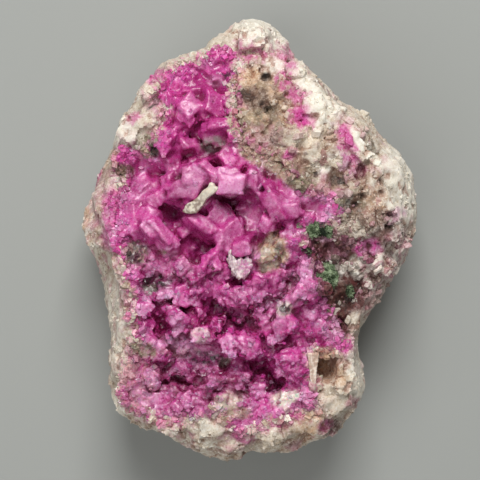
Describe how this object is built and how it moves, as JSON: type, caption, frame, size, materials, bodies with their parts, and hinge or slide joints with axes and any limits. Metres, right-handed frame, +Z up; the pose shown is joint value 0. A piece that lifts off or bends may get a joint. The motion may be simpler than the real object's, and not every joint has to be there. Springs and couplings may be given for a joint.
{
  "type": "cobaltoan calcite specimen",
  "caption": "Rough lump of pale rock lying on its flat broken back, with a shallow hollow full of pink calcite rhombs and a few green malachite tufts.",
  "frame": {"origin": "centre of the whole specimen's box seen from above, on the plane of the flat broken back that it rests on", "axes": "+Z up, away from the flat back and out of the crystal hollow; +Y along the specimen's long side, towards its narrower end; +X to the right of +Y seen from above"},
  "size_m": [0.0532, 0.0694, 0.0297],
  "materials": {
    "matrix": "granular stone, matt",
    "pink_calcite": "glassy to sugary crystal",
    "malachite": "velvety mineral",
    "pale_calcite": "waxy crystal",
    "brown_calcite": "glassy crystal"
  },
  "bodies": {
    "root": {"matrix": "matrix", "pink_crystal_crust": "pink_calcite", "malachite_tuft_upper": "malachite", "malachite_tuft_lower": "malachite", "malachite_tuft_small": "malachite", "pale_splinter": "pale_calcite", "pale_flake": "pale_calcite", "brown_blade": "brown_calcite"}
  },
  "joints": []
}
